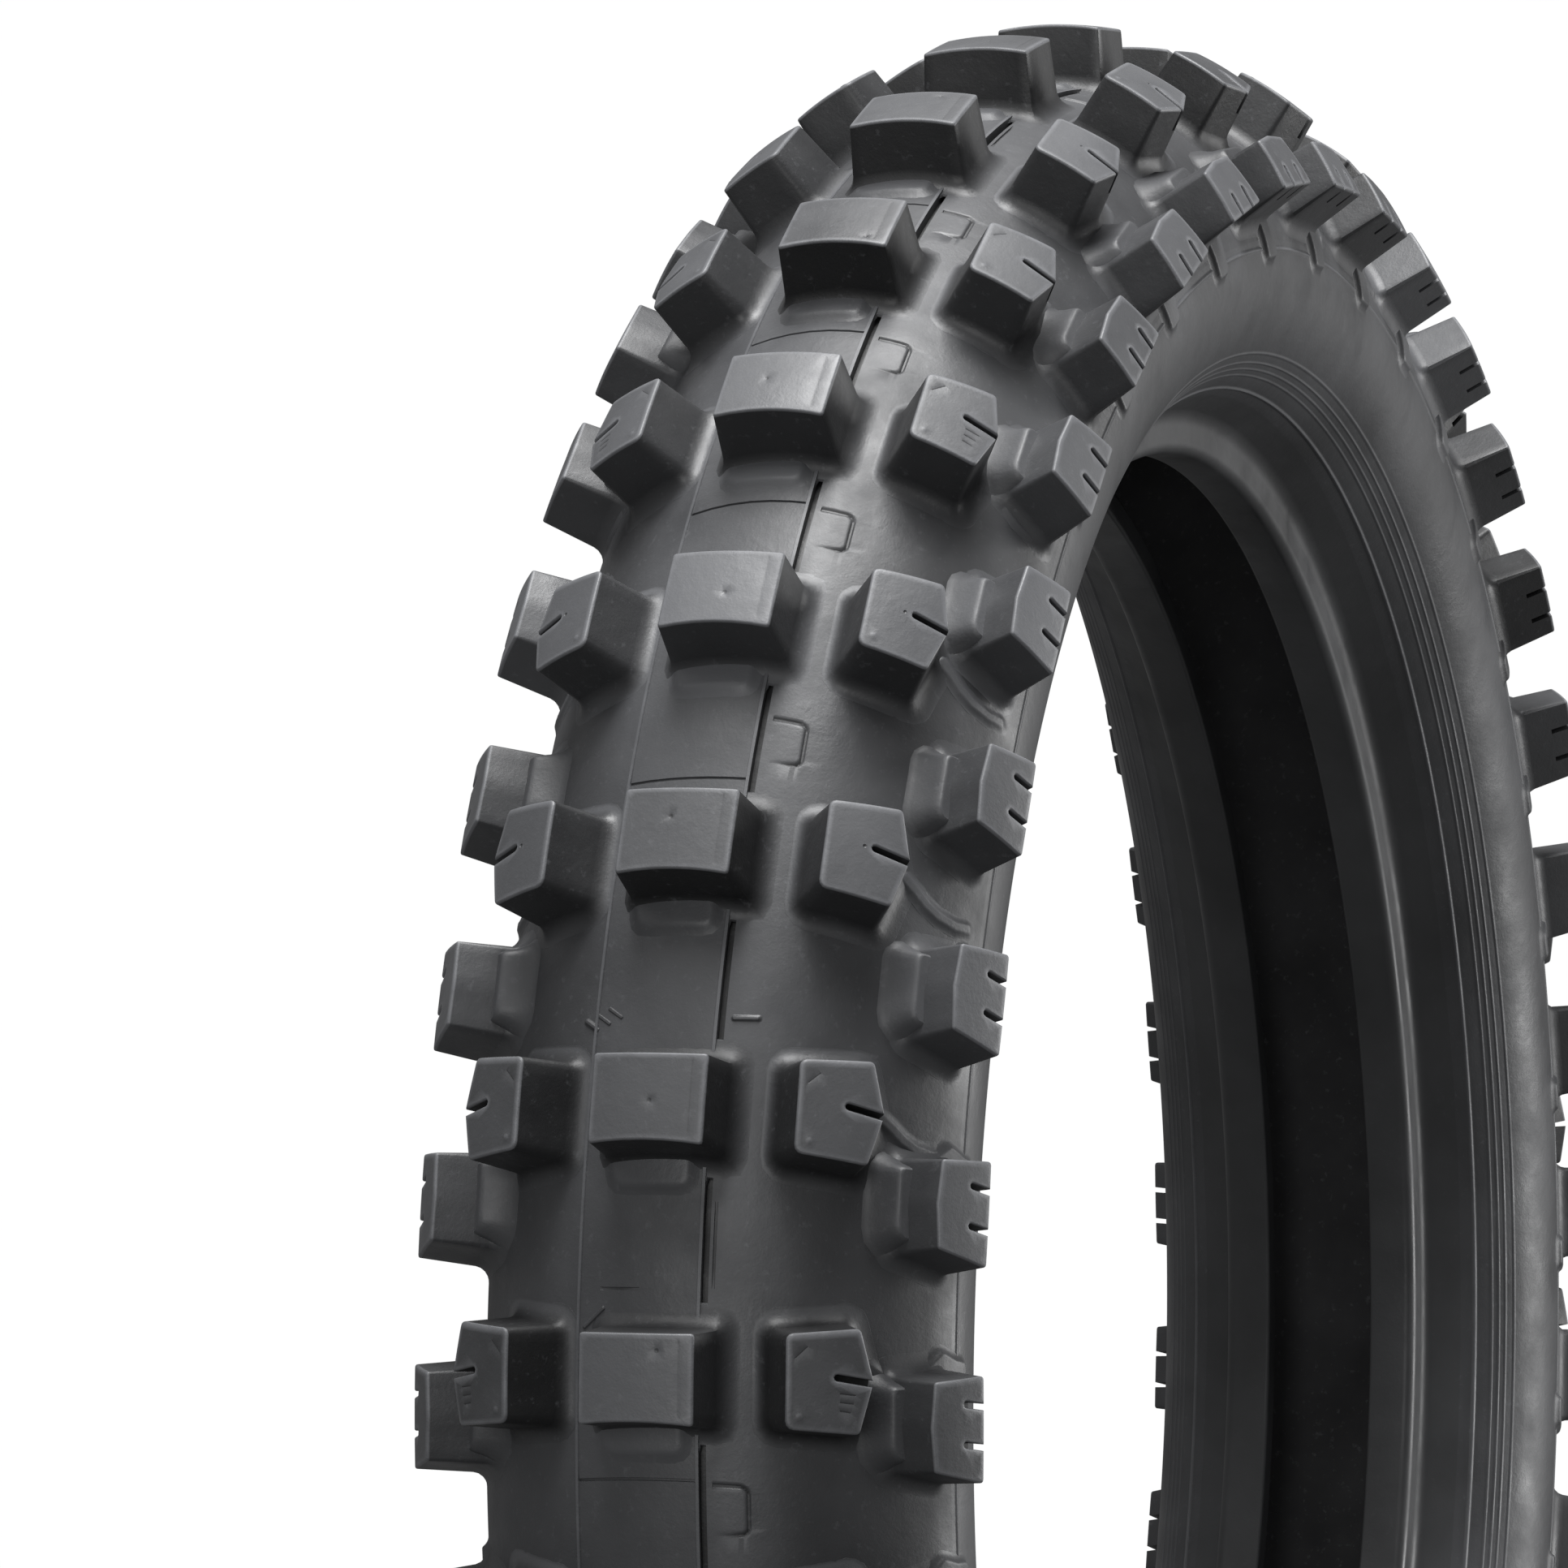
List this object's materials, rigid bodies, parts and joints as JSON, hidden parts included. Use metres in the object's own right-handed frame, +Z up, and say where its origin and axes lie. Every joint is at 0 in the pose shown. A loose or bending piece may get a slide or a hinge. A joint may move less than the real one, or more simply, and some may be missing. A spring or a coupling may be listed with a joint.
{
  "type": "motorcycle tyre",
  "caption": "Off-road motorcycle rear tyre: knobbly tread blocks on a cross-ply carcass with two wired beads that seat on the rim.",
  "frame": {"origin": "wheel centre: on the axle line, midway between the two beads", "axes": "+Y along the axle towards the tyre's right side, +Z up, +X from the axle to the front of the tyre"},
  "size_m": [0.676, 0.136, 0.6748],
  "materials": {
    "tread_rubber": "satin moulded rubber",
    "side_rubber": "satin moulded rubber",
    "bead_rubber": "hard smooth rubber",
    "liner_rubber": "matt, dusted with mould release",
    "cord_fabric": "rubber-coated nylon cord",
    "bead_steel": "bronze-coated wire"
  },
  "bodies": {
    "root": {"inner_liner": "liner_rubber", "carcass_ply_inner": "cord_fabric", "carcass_ply_outer": "cord_fabric", "breaker_ply_inner": "cord_fabric", "breaker_ply_outer": "cord_fabric", "tread_base": "tread_rubber", "centre_blocks": "tread_rubber", "middle_blocks_left": "tread_rubber", "middle_blocks_right": "tread_rubber", "shoulder_blocks_left": "tread_rubber", "shoulder_blocks_right": "tread_rubber", "sidewall_left": "side_rubber", "sidewall_right": "side_rubber", "chafer_left": "bead_rubber", "chafer_right": "bead_rubber", "bead_filler_left": "bead_rubber", "bead_filler_right": "bead_rubber", "bead_wrap_left": "cord_fabric", "bead_wrap_right": "cord_fabric", "bead_core_left": "bead_steel", "bead_core_right": "bead_steel"}
  },
  "joints": []
}
